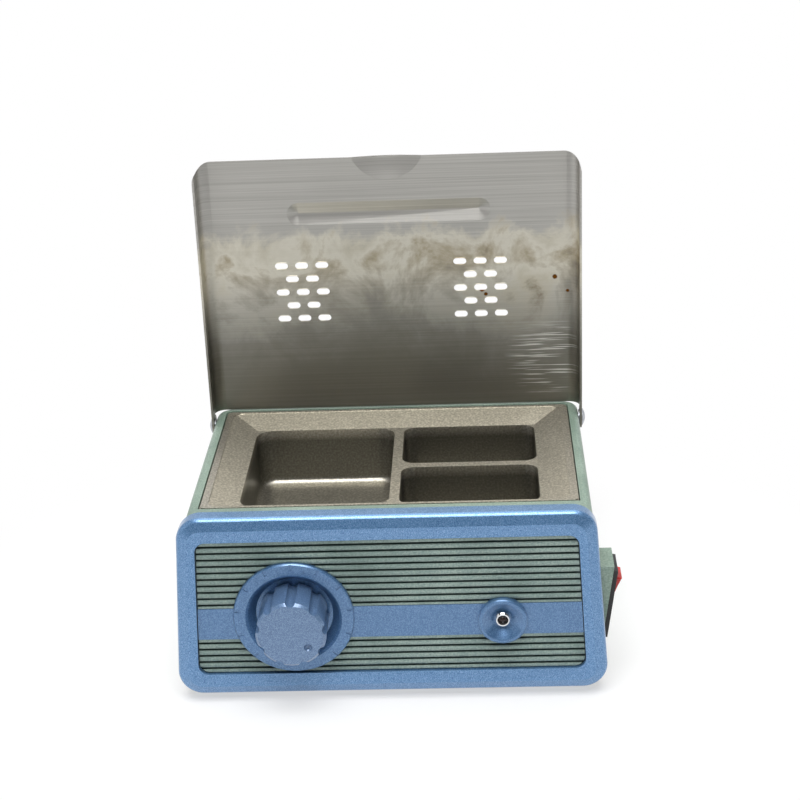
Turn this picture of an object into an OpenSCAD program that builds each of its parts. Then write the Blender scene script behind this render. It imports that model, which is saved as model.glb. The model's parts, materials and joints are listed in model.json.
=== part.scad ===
// Dental lab wax heater: a cast casing with a framed front panel, a three-well
// wax pot, and a slotted sheet lid on two rear rivets. Millimetres. X is to the
// right, Y to the back, Z up, and the floor is z = 0.

/* [Casing] */
// width of the casing at the rim
body_w = 147.4; // [146.4:0.2:148.4]
// height of the rim above the floor
body_top = 66.5; // [64:0.5:69]
// depth from the front plane to the rear face
body_d = 124; // [120:1:128]
// wall thickness of the casting
body_wall = 3; // [2.5:0.1:3.4]

/* [Front frame] */
// width of the frame at the top edge
frame_w_top = 149; // [147:0.5:151]
// width of the frame at the bottom edge
frame_w_base = 156.4; // [154:0.4:158]
// height of the frame's top edge above the floor
frame_top = 74; // [72:0.5:76]
// corner radius of the frame
frame_r = 9; // [8:0.5:10]

/* [Controls] */
// outer radius of the temperature ring
ring_r = 21.8; // [21:0.1:22.2]
// outer radius of the knob over its flutes
knob_r = 12.6; // [11.5:0.1:13]
// number of flutes on the knob
knob_flutes = 9; // [7:1:12]
// how far the knob face stands in front of the front plane
knob_reach = 13; // [11:0.5:15]
// pitch of the ribs on the panel
rib_pitch = 2.58; // [2.4:0.02:3]

/* [Wax pot] */
// height of the well floors above the floor
well_floor = 40.5; // [39:0.5:48]
// width of the partitions between the wells
partition = 3.7; // [3:0.1:5]
// width of the sloping border round the wells
funnel_w = 10.7; // [9:0.1:12]

/* [Lid] */
// sheet thickness of the lid
lid_t = 0.8; // [0.6:0.1:1]
// distance from the hinge line to the free edge
lid_len = 108.3; // [100:0.1:108.4]
// how far the open lid leans back from upright, in degrees
lid_lean = 1; // [0:0.5:3]

/* [Hidden] */
$fn = 96;

front_y = -body_d / 2;
back_y = body_d / 2;
draft = (frame_w_base - frame_w_top) / 2 / (frame_top - 3);
frame_base = 3;
frame_depth = 7.2;
case_front = front_y + frame_depth;
case_base = 4;
// the plan of the casing is swept round corner centres this far inside the rim
case_r = 6.3;
case_x = body_w / 2 - case_r;
case_y = back_y - case_r;
rim_r = 2.5;
rim_z = body_top - rim_r;
// the seam between rim and pot
seam_w = 4;
seam_x = body_w / 2 - seam_w;
seam_back = back_y - 4.6;
seam_front = front_y + 25.9;
flange_t = 2.6;
seal_t = 1.4;
ledge_z = body_top - flange_t - seal_t;
ledge_t = 2.5;
// opening of the frame, half widths and heights
open_top_x = 67.9;
open_base_x = 70.3;
open_top = 65.1;
open_base = 11.8;
open_r = 3.8;
// heights on the front face, measured outward from the front plane
crest = 0.6;
panel_face = -2;
panel_t = 1.6;
rib_h = 0.8;
strip_face = -0.9;
strip_lo = 25.95;
strip_hi = 38.3;
dial_x = -34.3;
dial_z = 34.6;
lamp_x = 40.6;
lamp_z = 31.9;
lamp_r = 8.8;
cup_floor = -4;
// hinge line of the lid
hinge_y = back_y - 8;
hinge_z = 62.1;
rivet_r = 1.5;
washer_r = 3;
lid_gap = 5;
lid_half = body_w / 2 + 1.5;
lid_bend = 5.3;
lid_skirt = 9.5;
lid_near = 4.8;
// well layout
well_l = -55.8;
well_r = 55.6;
well_front = -29.5;
well_back = 43.2;
part_x = -0.2;
part_y = 4;
well_top = body_top - 3;
pot_skin = 2.5;
pot_base = well_floor - pot_skin;
// switch housing on the right side
sw_front = front_y + 8;
sw_back = sw_front + 15.4;
sw_top = 48.5;
sw_low = 17;
sw_out = 80.8;
sw_slope = 7.9;
sw_mid = 33;
foot_x = 62;
foot_y = [-38, 48];
screw_r = 1.5;
// pillars that the front frame and its panel are screwed to
pillar_x = body_w / 2 - 7.1;
pillar_z = [17, 54];
pillar_d = 10;
gland_x = 45;
gland_z = 22;
// studs under the pot
stud_y = [-18, 30];
stud_x = part_x + partition / 2;

// half width of the drafted casing side at a height
function side_x(z) = body_w / 2 + (rim_z - z) * draft;

// corner centres of a symmetric trapezoid, clockwise, inset by r
function trap(wb, wt, z0, z1, r) =
  [[-(wb - r), z0 + r], [-(wt - r), z1 - r], [wt - r, z1 - r], [wb - r, z0 + r]];

// corner centres of a rectangle, clockwise, inset by r
function rect(x0, x1, y0, y1, r) =
  [[x0 + r, y0 + r], [x0 + r, y1 - r], [x1 - r, y1 - r], [x1 - r, y0 + r]];

function left_of(a, b) = [-(b[1] - a[1]), b[0] - a[0]] / norm(b - a);

// flat shape round a clockwise list of corner centres
module rounded(c, r) {
  n = len(c);
  union() {
    polygon([for (i = [0:n - 1]) for (p = [
      c[i] + r * left_of(c[(i + n - 1) % n], c[i]),
      c[i] + r * left_of(c[i], c[(i + 1) % n])]) p]);
    for (p = c)
      translate(p)
        circle(r);
  }
}

// flat plate with rounded corners
module slab(x0, x1, y0, y1, r, h) {
  union() {
    box(x0 + r, x1 - r, y0, y1, 0, h);
    box(x0, x1, y0 + r, y1 - r, 0, h);
    for (x = [x0 + r, x1 - r], y = [y0 + r, y1 - r])
      translate([x, y, 0])
        rod(r, h);
  }
}

// carries one profile round a clockwise list of corner centres: the profile's
// x runs outward from the line through the centres, and its y runs along z
module sweep(c) {
  n = len(c);
  for (i = [0:n - 1]) {
    a = c[i];
    b = c[(i + 1) % n];
    before = left_of(c[(i + n - 1) % n], a);
    after = left_of(a, b);
    start = atan2(after[1], after[0]);
    turn = acos(before * after);
    translate(a)
      rotate(start)
        rotate_extrude(angle = turn)
          children();
    translate(a)
      rotate(atan2(b[1] - a[1], b[0] - a[0]))
        rotate([90, 0, 90])
          linear_extrude(norm(b - a))
            children();
  }
}

// moves a shape drawn on the face (x right, y up, z outward) onto the front
module on_face() {
  translate([0, front_y, 0])
    rotate([90, 0, 0])
      children();
}

// local frame of the cord gland: z outward, square to the drafted rear wall
module on_rear() {
  translate([gland_x, back_y + (rim_z - gland_z) * draft, gland_z])
    rotate([-90 + atan(draft), 0, 0])
      children();
}

module box(x0, x1, y0, y1, z0, z1) {
  translate([x0, y0, z0])
    cube([x1 - x0, y1 - y0, z1 - z0]);
}

module rod(r, h) {
  cylinder(r = r, h = h);
}

// a round bar from point a to point b
module bar(a, b, r) {
  d = b - a;
  h = norm(d);
  translate(a)
    rotate([0, acos(d[2] / h), atan2(d[1], d[0])])
      cylinder(r = r, h = h, $fn = 32);
}

// a bent wire: bars with ball joints
module wire(p, r) {
  for (i = [0:len(p) - 2])
    bar(p[i], p[i + 1], r);
  for (i = [1:len(p) - 2])
    translate(p[i])
      sphere(r * 1.15, $fn = 32);
}

// Section of the casing: x is the distance from the corner centres
module case_profile() {
  outer_base = case_r + (rim_z - case_base) * draft;
  lean = atan(draft);
  difference() {
    union() {
      translate([case_r - rim_r, rim_z])
        circle(rim_r);
      polygon([[0, case_base], [outer_base, case_base],
        [case_r - rim_r + rim_r * cos(lean), rim_z + rim_r * sin(lean)],
        [case_r - rim_r, body_top], [0, body_top]]);
    }
    translate([-1, ledge_z])
      square([1 + case_r - seam_w, 20]);
    polygon([[-1, case_base - 1], [outer_base - body_wall + draft, case_base - 1],
      [case_r - body_wall - 0.4, ledge_z - ledge_t], [-1, ledge_z - ledge_t]]);
  }
}

module housing() {
  // the front corners of the sweep lie ahead of the casing and are cut away
  far = 40;
  deck_x = seam_x + 0.5;
  color([0.44, 0.52, 0.46])
    difference() {
      union() {
        difference() {
          sweep(rect(-case_x, case_x, front_y - far, case_y, 0))
            case_profile();
          box(-100, 100, front_y - far - 20, case_front, -1, 100);
        }
        // deck between the frame and the pot, with its ledge
        box(-deck_x, deck_x, case_front, seam_front, body_top - body_wall, body_top);
        box(-deck_x, deck_x, seam_front - 2.5, seam_front, ledge_z - ledge_t, body_top);
        box(-deck_x, deck_x, seam_front - 2.5, seam_front + 4, ledge_z - ledge_t, ledge_z);
        // corner pillars for the feet
        for (x = [-foot_x, foot_x], y = foot_y)
          translate([x, y, 6.2])
            difference() {
              union() {
                rod(4.5, 14);
                box(x > 0 ? 0 : -12.4, x > 0 ? 12.4 : 0, -2, 2, 0, 14);
              }
              translate([0, 0, -1])
                rod(1.55, 12);
            }
        // pillars for the frame screws
        for (x = [-pillar_x, pillar_x], z = pillar_z)
          translate([x, case_front, z])
            rotate([-90, 0, 0])
              difference() {
                union() {
                  rod(4, pillar_d);
                  box(x > 0 ? 0 : -7.4, x > 0 ? 7.4 : 0, -3, 3, 0, pillar_d);
                }
                translate([0, 0, -1])
                  rod(screw_r + 0.1, pillar_d + 2);
              }
      }
      // rivet holes
      for (s = [0, 1])
        mirror([s, 0, 0])
          translate([seam_x + 0.3, hinge_y, hinge_z])
            rotate([0, 90, 0])
              rod(rivet_r + 0.02, 20);
      // window for the switch
      box(60, 100, sw_front + 1.6, sw_back - 1.6, sw_low + 3.5, sw_top - 1.8);
      // hole for the cord gland
      on_rear()
        translate([0, 0, -14])
          rod(6.05, 30);
    }
}

module base_plate() {
  w = side_x(6) - body_wall - 1.2;
  color([0.72, 0.74, 0.75])
    difference() {
      translate([0, 0, 4.6])
        slab(-w, w, case_front + 1, back_y - body_wall - 1, 4, 1.5);
      for (x = [-foot_x, foot_x], y = foot_y)
        translate([x, y, 0])
          rod(1.7, 10);
      // vent slots in three groups
      for (g = [-36, 0, 36], i = [-3:3])
        translate([g, i * 7, 0])
          linear_extrude(10) {
            square([22, 3], center = true);
            translate([-11, 0])
              circle(1.5);
            translate([11, 0])
              circle(1.5);
          }
    }
}

// section of the frame: x is the distance from the corner centres
module frame_profile() {
  edge_r = 2.2;
  fall = 0.466;
  band = 4.2;
  lean = atan(fall);
  cz = crest - band * fall - edge_r * (1 / cos(lean) - fall);
  translate([frame_r - edge_r, cz])
    circle(edge_r);
  polygon([[0, -frame_depth], [frame_r, -frame_depth], [frame_r, cz],
    [frame_r - edge_r + edge_r * sin(lean), cz + edge_r * cos(lean)],
    [frame_r - band, crest], [0, crest]]);
}

module front_frame() {
  out = trap(frame_w_base / 2, frame_w_top / 2, frame_base, frame_top, frame_r);
  hole = trap(open_base_x, open_top_x, open_base, open_top, open_r);
  color([0.36, 0.53, 0.74])
    on_face()
      difference() {
        hull()
          for (p = out)
            translate(p)
              rotate_extrude($fn = 64)
                frame_profile();
        translate([0, 0, -frame_depth - 1])
          linear_extrude(frame_depth + 3)
            rounded(hole, open_r);
        // inner band falls toward the opening
        hull()
          for (p = hole)
            translate(p)
              cylinder(r1 = open_r + 0.05, r2 = open_r + 7.25, h = 2 * crest, $fn = 64);
        // pocket that holds the panel from behind
        translate([0, 0, -frame_depth - 1])
          linear_extrude(frame_depth + 1 + panel_face)
            rounded(trap(open_base_x + 2, open_top_x + 2, open_base - 2, open_top + 2, 4), 4);
      }
}

module control_panel() {
  first_groove = 62.9;
  groove = 0.9;
  color([0.38, 0.48, 0.42])
    on_face()
      difference() {
        union() {
          translate([0, 0, panel_face - panel_t])
            linear_extrude(panel_t - 0.05)
              rounded(trap(open_base_x + 1.7, open_top_x + 1.7, open_base - 1.7,
                open_top + 1.7, 4), 4);
          intersection() {
            translate([0, 0, panel_face - 0.5])
              linear_extrude(0.5 + rib_h)
                rounded(trap(open_base_x - 0.4, open_top_x - 0.4, open_base + 0.4,
                  open_top - 0.4, open_r), open_r);
            for (i = [-1:20])
              translate([-80, first_groove - i * rib_pitch + groove / 2, panel_face - 0.5])
                cube([160, rib_pitch - groove, 0.5 + rib_h]);
          }
          // screw bosses on the back
          for (x = [-pillar_x, pillar_x], z = pillar_z)
            translate([x, z, -frame_depth + 0.05])
              rod(3, frame_depth + panel_face - 0.5);
        }
        for (x = [-pillar_x, pillar_x], z = pillar_z)
          translate([x, z, -frame_depth - 1])
            rod(screw_r + 0.02, 5.2);
        // seat of the dial plate
        translate([-80, strip_lo - 0.1, panel_face - 0.05])
          cube([160, strip_hi - strip_lo + 0.2, 3]);
        translate([dial_x, dial_z, panel_face - 0.05])
          rod(ring_r + 0.1, 3);
        translate([lamp_x, lamp_z, panel_face - 0.05])
          rod(lamp_r + 0.1, 3);
        translate([dial_x, dial_z, -10])
          rod(17.6, 20);
        translate([lamp_x, lamp_z, -10])
          rod(4.2, 20);
      }
}

module dial_plate() {
  ring_face = 0.5;
  wall_in = 16.6;
  floor_r = 13.9;
  color([0.36, 0.53, 0.74])
    on_face()
      difference() {
        union() {
          translate([0, 0, panel_face])
            linear_extrude(strip_face - panel_face)
              intersection() {
                rounded(trap(open_base_x - 0.3, open_top_x - 0.3, open_base, open_top, 4), 4);
                translate([-80, strip_lo])
                  square([160, strip_hi - strip_lo]);
              }
          // temperature ring with a small edge chamfer
          translate([dial_x, dial_z, panel_face])
            rod(ring_r, ring_face - panel_face - 0.5);
          translate([dial_x, dial_z, ring_face - 0.5])
            cylinder(r1 = ring_r, r2 = ring_r - 0.4, h = 0.5);
          // cup that passes through the panel
          translate([dial_x, dial_z, cup_floor - 1.6])
            rod(17.5, 2 - cup_floor);
          // lamp dish
          translate([lamp_x, lamp_z, panel_face])
            rod(lamp_r, 2.9);
          translate([lamp_x, lamp_z, panel_face + 2.9])
            cylinder(r1 = lamp_r, r2 = lamp_r - 0.5, h = 0.4);
          translate([lamp_x, lamp_z, -4.4])
            rod(4.1, 3);
        }
        translate([dial_x, dial_z, cup_floor])
          cylinder(r1 = floor_r, r2 = wall_in, h = ring_face - cup_floor - 0.6);
        translate([dial_x, dial_z, ring_face - 0.61])
          cylinder(r1 = wall_in, r2 = wall_in + 0.8, h = 0.62);
        translate([dial_x, dial_z, -10])
          rod(4.3, 20);
        translate([lamp_x, lamp_z, -1.9])
          cylinder(r1 = 3.1, r2 = 7.5, h = 3.21);
        translate([lamp_x, lamp_z, -6])
          rod(2.25, 6);
        // scale marks cut into the ring
        for (i = [-5:5])
          translate([dial_x, dial_z, ring_face - 0.3])
            rotate(-i * 27)
              translate([-0.45, wall_in + 2.9])
                cube([0.9, 2, 1]);
      }
}

module control_knob() {
  flute_r = 1.9;
  back = -3.2;
  full = knob_reach - back;
  color([0.40, 0.46, 0.66])
    on_face()
      translate([dial_x, dial_z, back])
        difference() {
          intersection() {
            rod(knob_r, full);
            union() {
              rod(knob_r + 1, full - 1);
              translate([0, 0, full - 1])
                cylinder(r1 = knob_r, r2 = knob_r - 1, h = 1);
            }
          }
          for (i = [0:knob_flutes - 1])
            rotate(i * 360 / knob_flutes + 8)
              translate([knob_r + 0.5, 0, -1])
                rod(flute_r, full + 2);
          // hollow behind for the nut
          translate([0, 0, -1])
            rod(9, 6.2);
          translate([0, 0, -1])
            rod(3.02, full - 2);
          // pointer dimple
          rotate(-130)
            translate([0, 7.7, full + 0.6])
              sphere(1.6);
        }
}

module thermostat() {
  color([0.80, 0.80, 0.78])
    on_face()
      translate([dial_x, dial_z, 0])
        difference() {
          union() {
            translate([0, 0, -8.5])
              rod(10, 2.4);
            translate([0, 0, -24])
              rod(13, 15.6);
            translate([0, 0, -6.2])
              rod(4.2, 4.6);
            translate([0, -9, -27.5])
              box(-9, -6, -2, 2, 0, 4);
            translate([0, -9, -27.5])
              box(6, 9, -2, 2, 0, 4);
          }
          translate([0, 0, -20])
            rod(3.05, 30);
        }
}

module thermostat_shaft() {
  color([0.75, 0.76, 0.78])
    on_face()
      translate([dial_x, dial_z, -19.5])
        rod(3, 19.5 + knob_reach - 3.2);
}

module thermostat_nut() {
  color([0.78, 0.72, 0.50])
    on_face()
      translate([dial_x, dial_z, cup_floor + 0.05])
        difference() {
          intersection() {
            cube([12, 20, 4.4], center = true);
            rotate(60)
              cube([12, 20, 4.4], center = true);
            rotate(120)
              cube([12, 20, 4.4], center = true);
            rod(8, 2.2);
          }
          translate([0, 0, -1])
            rod(4.25, 6);
        }
}

module capillary() {
  bulb_y = well_front - 3;
  back = front_y + 27;
  color([0.80, 0.52, 0.34]) {
    translate([-48, bulb_y + 6.5, pot_base - 3])
      rotate([0, 90, 0])
        rod(2.6, 36);
    wire([[-12.5, bulb_y + 6.5, pot_base - 3], [-6, bulb_y + 6.5, pot_base - 3],
      [-4, bulb_y - 1, pot_base - 8], [dial_x + 8, back + 1.5, dial_z - 13],
      [dial_x, back + 1.5, dial_z - 8], [dial_x, back - 2.9, dial_z - 6]], 0.8);
  }
}

module lamp_holder() {
  color([0.86, 0.87, 0.88])
    on_face()
      translate([lamp_x, lamp_z, 0])
        difference() {
          union() {
            translate([0, 0, -1.85])
              rod(2.9, 1.2);
            translate([0, 0, -0.65])
              cylinder(r1 = 2.9, r2 = 2.4, h = 0.5);
            translate([0, 0, -7.5])
              rod(2.2, 6);
          }
          translate([0, 0, -9])
            rod(1.55, 12);
          translate([0, 0, -0.9])
            cylinder(r1 = 1.55, r2 = 2, h = 0.8);
        }
}

module lamp_lens() {
  color([0.25, 0.10, 0.10])
    on_face()
      translate([lamp_x, lamp_z, -6.5]) {
        rod(1.5, 5);
        translate([0, 0, 5])
          sphere(1.5);
      }
}

module lamp_board() {
  color([0.15, 0.40, 0.25])
    on_face()
      translate([lamp_x, lamp_z, 0])
        difference() {
          box(-8, 12, -7, 7, -9.3, -7.7);
          translate([0, 0, -10])
            rod(0.6, 4);
        }
}

// one well with a rounded floor edge
module well(x0, x1, y0, y1, r) {
  f = 2.5;
  c = rect(x0, x1, y0, y1, r);
  high = 30;
  translate([0, 0, well_floor]) {
    sweep(c) {
      difference() {
        square([r, high]);
        translate([r - f, 0])
          square([f + 1, f]);
      }
      intersection() {
        translate([r - f, f])
          circle(f);
        translate([r - f, 0])
          square([f, f]);
      }
    }
    linear_extrude(high)
      polygon(c);
  }
}

module wax_pot() {
  fx = seam_x - 0.35;
  fy0 = seam_front + 0.35;
  fy1 = seam_back - 0.35;
  lip = body_top - 0.4;
  corner = case_r - seam_w - 0.35;
  color([0.55, 0.53, 0.49])
    difference() {
      union() {
        translate([0, 0, body_top - flange_t])
          linear_extrude(flange_t - 0.6)
            rounded(rect(-fx, fx, fy0, fy1, corner), corner);
        translate([0, 0, body_top - 0.6])
          linear_extrude(0.6)
            rounded(rect(-fx + 0.3, fx - 0.3, fy0 + 0.3, fy1 - 0.3, corner), corner);
        // body of the wells
        translate([0, 0, pot_base])
          linear_extrude(body_top - 1 - pot_base)
            rounded(rect(well_l - pot_skin, well_r + pot_skin, well_front - pot_skin,
              well_back + pot_skin, 8), 8);
        // thickened underside of the sloping border
        translate([0, 0, well_top - 5])
          linear_extrude(6)
            rounded(rect(-64.5, 64.5, seam_front + 5, seam_back - 5, 8), 8);
      }
      // sloping border
      intersection() {
        translate([0, 100, 0])
          rotate([90, 0, 0])
            linear_extrude(200)
              polygon([[well_l, well_top], [well_r, well_top], [well_r + funnel_w, lip],
                [well_r + funnel_w, 80], [well_l - funnel_w, 80], [well_l - funnel_w, lip]]);
        translate([-100, 0, 0])
          rotate([90, 0, 90])
            linear_extrude(200)
              polygon([[well_front, well_top], [well_back, well_top], [fy1 - 0.9, lip],
                [fy1 - 0.9, 80], [fy0 + 1.7, 80], [fy0 + 1.7, lip]]);
        translate([0, 0, well_top - 1])
          linear_extrude(40)
            rounded(rect(well_l - funnel_w, well_r + funnel_w, fy0 + 1.7, fy1 - 0.9, 4), 4);
      }
      well(well_l, part_x, well_front, well_back, 7);
      well(part_x + partition, well_r, well_front, part_y, 5);
      well(part_x + partition, well_r, part_y + partition, well_back, 5);
      // blind holes for the studs
      for (y = stud_y)
        translate([stud_x, y, pot_base - 1])
          rod(screw_r + 0.02, 7.5);
    }
}

module pot_seal() {
  color([0.85, 0.84, 0.80])
    translate([0, 0, ledge_z + 0.05])
      difference() {
        slab(-seam_x + 0.6, seam_x - 0.6, seam_front + 0.6, seam_back - 0.6, 5, seal_t - 0.1);
        translate([0, 0, -1])
          slab(-65.5, 65.5, seam_front + 3.6, seam_back - 4.2, 6, 4);
      }
}

// clearance holes for the two studs
module stud_clear() {
  for (y = stud_y)
    translate([stud_x, y, 0])
      rod(screw_r + 0.2, 60);
}

module heating_plate() {
  color([0.78, 0.79, 0.80])
    difference() {
      union() {
        box(-52, 52, -20, 40, pot_base - 4, pot_base - 0.05);
        for (x = [-12, 12])
          box(x - 3, x + 3, 40, 44, pot_base - 2.6, pot_base - 1.4);
      }
      stud_clear();
    }
}

module insulation_pad() {
  color([0.90, 0.88, 0.82])
    difference() {
      box(-52, 52, -20, 40, pot_base - 7, pot_base - 4.05);
      stud_clear();
    }
}

module pressure_plate() {
  color([0.70, 0.72, 0.74])
    difference() {
      union() {
        box(-50, 50, -14, 36, pot_base - 8.25, pot_base - 7.05);
        box(-50, 50, -14, -12.8, pot_base - 12, pot_base - 7.05);
        box(-50, 50, 34.8, 36, pot_base - 12, pot_base - 7.05);
      }
      stud_clear();
    }
}

module pot_studs() {
  color([0.75, 0.76, 0.78])
    for (y = stud_y)
      translate([stud_x, y, pot_base - 14])
        rod(screw_r, 20);
}

module stud_nuts() {
  color([0.78, 0.79, 0.81])
    for (y = stud_y)
      translate([stud_x, y, pot_base - 10.8])
        difference() {
          intersection() {
            cube([5.5, 12, 5], center = true);
            rotate(60)
              cube([5.5, 12, 5], center = true);
            rotate(120)
              cube([5.5, 12, 5], center = true);
          }
          translate([0, 0, -4])
            rod(1.55, 8);
        }
}

module thermal_cutout() {
  color([0.20, 0.20, 0.20])
    translate([-28, 10, pot_base - 8.3])
      rotate([180, 0, 0]) {
        box(-9, 9, -4, 4, 0, 1);
        rod(6, 5.5);
        box(-1, 1, -9, -3, 4, 4.8);
        box(-1, 1, 3, 9, 4, 4.8);
      }
}

module terminal_block() {
  color([0.90, 0.90, 0.86])
    translate([38, 24, 6.15])
      difference() {
        union() {
          box(-15, 15, -8, 8, 0, 9);
          for (x = [-10, 0, 10])
            box(x - 4, x + 4, -5, 5, 0, 14);
        }
        for (x = [-10, 0, 10]) {
          translate([x, 0, 8])
            rod(1.8, 8);
          translate([x, -10, 4.5])
            rotate([-90, 0, 0])
              rod(1.4, 20);
        }
      }
}

module cord_gland() {
  color([0.12, 0.12, 0.12])
    on_rear()
      difference() {
        union() {
          translate([0, 0, -8])
            rod(6, 16);
          translate([0, 0, 0.05])
            rod(9, 3);
          translate([0, 0, 3.05])
            cylinder(r1 = 8, r2 = 5.6, h = 9);
          translate([0, 0, -6.4])
            rod(8.6, 3.05);
        }
        translate([0, 0, -20])
          rod(3.2, 60);
      }
}

// local frame on the slanted face: x to the back, y up the face, z outward
module on_switch() {
  translate([sw_out - (sw_top - sw_mid) * tan(sw_slope), (sw_front + sw_back) / 2, sw_mid])
    rotate([0, sw_slope, 0])
      rotate([90, 0, 90])
        children();
}

module switch_housing() {
  color([0.46, 0.54, 0.48])
    difference() {
      intersection() {
        box(side_x(sw_top) - 0.6, 90, sw_front, sw_back, sw_low - 0.6, sw_top);
        on_switch()
          box(-20, 20, -40, 40, -20, 0);
      }
      // seats against the drafted casing side
      translate([side_x(0) + 0.05, 0, 0])
        rotate([0, -atan(draft), 0])
          box(-40, 0, -100, 100, -10, 90);
      on_switch()
        box(-6.05, 6.05, -12.05, 12.05, -30, 10);
    }
}

module switch_body() {
  color([0.08, 0.08, 0.08])
    on_switch()
      difference() {
        union() {
          box(-7, 7, -13.5, 13.5, 0.05, 1.7);
          box(-6, 6, -12, 12, -17, 1);
          for (y = [-7, 0, 7])
            box(-2.4, 2.4, y - 0.4, y + 0.4, -25, -16);
        }
        // hollow for the rocker
        box(-5.05, 5.05, -11, 11, -9, 5);
        translate([-7.2, 0, -0.5])
          rotate([0, 90, 0])
            rod(0.82, 14.4);
      }
}

module rocker_pin() {
  color([0.75, 0.76, 0.78])
    on_switch()
      translate([-5.9, 0, -0.5])
        rotate([0, 90, 0])
          rod(0.8, 11.8);
}

module rocker() {
  tilt = 8;
  dish_r = 48;
  // the pressed end lies flush with the bezel, the other stands out
  color([0.78, 0.12, 0.10])
    on_switch()
      translate([0, 0, -0.5])
        rotate([tilt, 0, 0])
          difference() {
            union() {
              difference() {
                box(-4.65, 4.65, -10.2, 10.2, -1.5, 3.6);
                translate([-10, 0, dish_r + 1.9])
                  rotate([0, 90, 0])
                    rod(dish_r, 20);
              }
              box(-4.65, 4.65, -4, 4, -4, 0);
            }
            translate([-7, 0, 0])
              rotate([0, 90, 0])
                rod(0.85, 14);
          }
}

// The lid is drawn closed about its hinge line, then turned open
module at_hinge() {
  translate([0, hinge_y, hinge_z])
    rotate([-90 - lid_lean, 0, 0])
      children();
}

// cross section of the sheet: top skin, bends and side skirts
module lid_profile() {
  z1 = lid_gap + lid_t;
  r = lid_bend;
  difference() {
    union() {
      translate([-lid_half + r, z1 - r])
        circle(r);
      translate([lid_half - r, z1 - r])
        circle(r);
      translate([-lid_half + r, z1 - r])
        square([2 * lid_half - 2 * r, r]);
      translate([-lid_half, lid_gap - lid_skirt])
        square([2 * lid_half, lid_skirt + lid_t - r]);
    }
    translate([-lid_half + r, z1 - r])
      circle(r - lid_t);
    translate([lid_half - r, z1 - r])
      circle(r - lid_t);
    translate([-lid_half + r, z1 - r - 1])
      square([2 * lid_half - 2 * r, r - lid_t + 1]);
    translate([-lid_half + lid_t, lid_gap - lid_skirt - 1])
      square([2 * lid_half - 2 * lid_t, lid_skirt + lid_t - r + 1]);
  }
}

module lid() {
  ridge_s = 86.4;
  ridge_half = 4.5;
  ridge_end = 35.6;
  ridge_h = 1.6;
  dish_c = 6.2;
  dish_r = 53.3;
  dish_drop = 2.2;
  slot_r = 1.35;
  slot_x = 8.05;
  slot_y = 5.48;
  first_row = 65.4;
  group_x = 35.5;
  z1 = lid_gap + lid_t;
  color([0.62, 0.62, 0.60])
    at_hinge()
      difference() {
        union() {
          intersection() {
            translate([0, -lid_near, 0])
              rotate([90, 0, 0])
                linear_extrude(lid_len - lid_near)
                  lid_profile();
            // rounded free corners
            linear_extrude(40, center = true)
              rounded(rect(-lid_half, lid_half, -lid_len, 20, 6.5), 6.5);
          }
          // ears that reach back to the rivets
          for (x = [-lid_half, lid_half - lid_t])
            translate([x, 0, 0])
              rotate([90, 0, 90])
                linear_extrude(lid_t)
                  union() {
                    circle(4.5);
                    translate([-12, -4.5])
                      square([12, 5]);
                    translate([-12, 0])
                      square([7.2, 1]);
                  }
          // outward pressed ridge
          intersection() {
            translate([-100, -lid_len, lid_gap])
              cube([200, lid_len, 10]);
            union() {
              translate([-ridge_end, -ridge_s, z1])
                cylinder(r1 = ridge_half + 0.4, r2 = 0, h = ridge_h + 0.4);
              translate([ridge_end, -ridge_s, z1])
                cylinder(r1 = ridge_half + 0.4, r2 = 0, h = ridge_h + 0.4);
              translate([-ridge_end, -ridge_s, z1])
                rotate([90, 0, 90])
                  linear_extrude(2 * ridge_end)
                    polygon([[-ridge_half - 0.4, 0], [ridge_half + 0.4, 0],
                      [0, ridge_h + 0.4]]);
            }
          }
          // finger dimple at the free edge
          intersection() {
            translate([0, -lid_len - dish_c, z1 + dish_drop - dish_r])
              sphere(dish_r, $fn = 128);
            translate([-30, -lid_len, lid_gap])
              cube([60, 40, 10]);
          }
        }
        translate([0, 0, -0.01]) {
          translate([-ridge_end, -ridge_s, lid_gap])
            cylinder(r1 = ridge_half, r2 = 0, h = ridge_h);
          translate([ridge_end, -ridge_s, lid_gap])
            cylinder(r1 = ridge_half, r2 = 0, h = ridge_h);
          translate([-ridge_end, -ridge_s, lid_gap])
            rotate([90, 0, 90])
              linear_extrude(2 * ridge_end)
                polygon([[-ridge_half, 0], [ridge_half, 0], [0, ridge_h]]);
        }
        translate([0, -lid_len - dish_c, lid_gap + dish_drop - dish_r])
          intersection() {
            sphere(dish_r, $fn = 128);
            translate([-30, -20, dish_r - dish_drop - 0.01])
              cube([60, 60, 10]);
          }
        // two groups of slots in rows of three and two
        for (g = [-1, 1], row = [0:4], k = [0:(row % 2 == 0 ? 2 : 1)])
          translate([g * group_x + (k - (row % 2 == 0 ? 1 : 0.5)) * slot_x,
            -first_row + row * slot_y, lid_gap - 1])
            linear_extrude(4) {
              square([2.8, 2 * slot_r], center = true);
              translate([-1.4, 0])
                circle(slot_r);
              translate([1.4, 0])
                circle(slot_r);
            }
        // rivet holes
        translate([-100, 0, 0])
          rotate([0, 90, 0])
            rod(rivet_r + 0.05, 200);
      }
}

module hinge_rivets() {
  color([0.70, 0.71, 0.73])
    for (s = [0, 1])
      mirror([s, 0, 0])
        translate([0, hinge_y, hinge_z])
          rotate([0, 90, 0]) {
            translate([0, 0, seam_x + 0.5])
              rod(rivet_r, lid_half + 0.2 - seam_x - 0.5);
            translate([0, 0, lid_half + 0.15])
              intersection() {
                rod(3.6, 1.3);
                translate([0, 0, 1.3 - 6])
                  sphere(6);
              }
          }
}

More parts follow.
